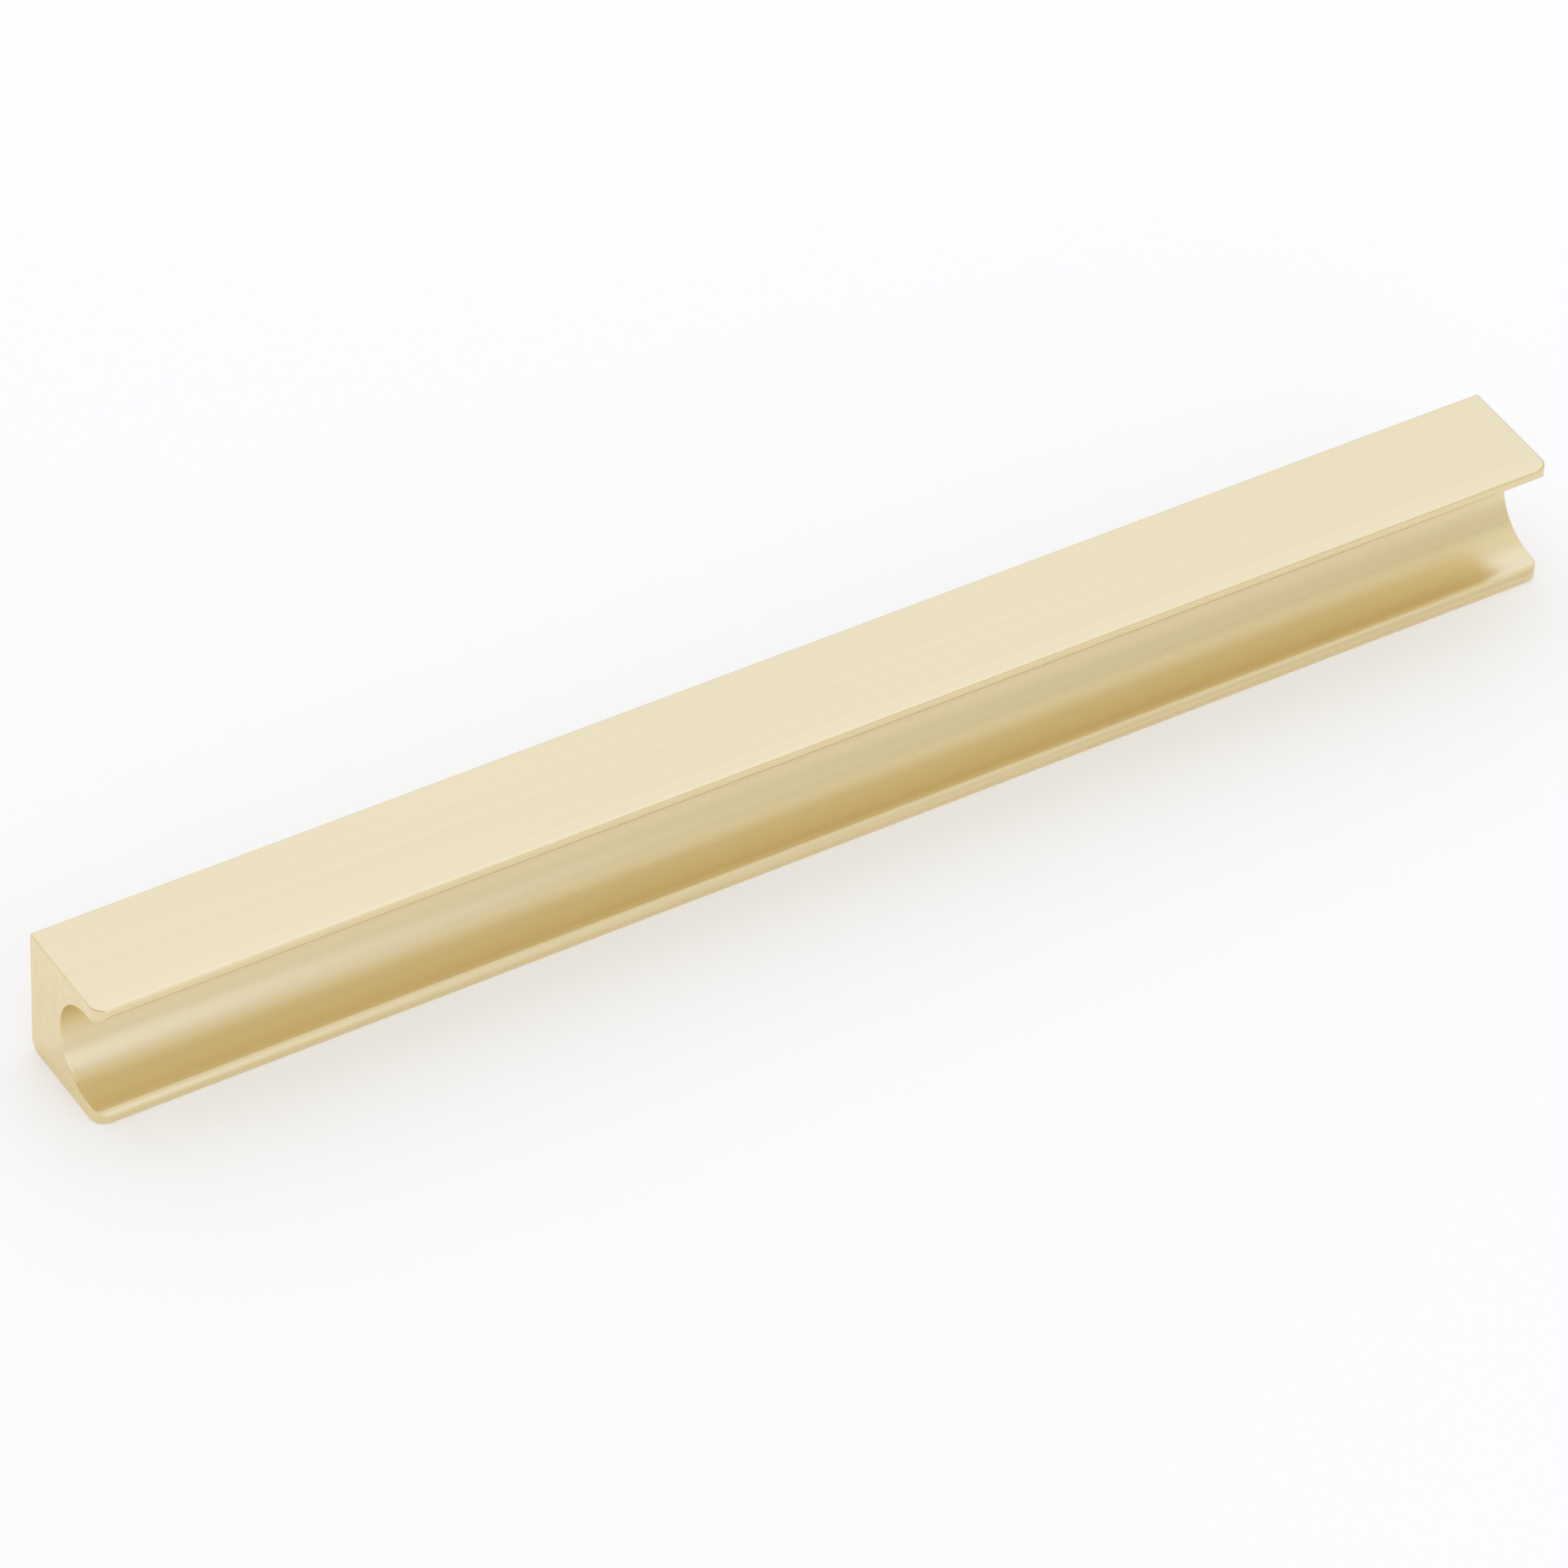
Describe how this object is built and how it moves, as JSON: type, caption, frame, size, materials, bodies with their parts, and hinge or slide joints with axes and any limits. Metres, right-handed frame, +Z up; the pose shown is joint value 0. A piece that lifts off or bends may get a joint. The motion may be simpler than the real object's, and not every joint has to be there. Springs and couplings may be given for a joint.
{
  "type": "cabinet pull",
  "caption": "Straight cabinet pull bar with an open-ended finger groove along its front, flat back with tapped holes, satin pale brass finish.",
  "frame": {"origin": "on the flat back face that lies against the door, at mid height and midway between the screw holes", "axes": "+X along the bar, -Y out from the door towards the user, +Z up; the groove opens towards -Y and the upper lip is at +Z"},
  "size_m": [0.2, 0.016, 0.0176],
  "materials": {
    "satin_brass_finish": "fine hairline brushing along the bar, satin, pale brass-coloured"
  },
  "bodies": {
    "root": {"pull_bar": "satin_brass_finish"}
  },
  "joints": []
}
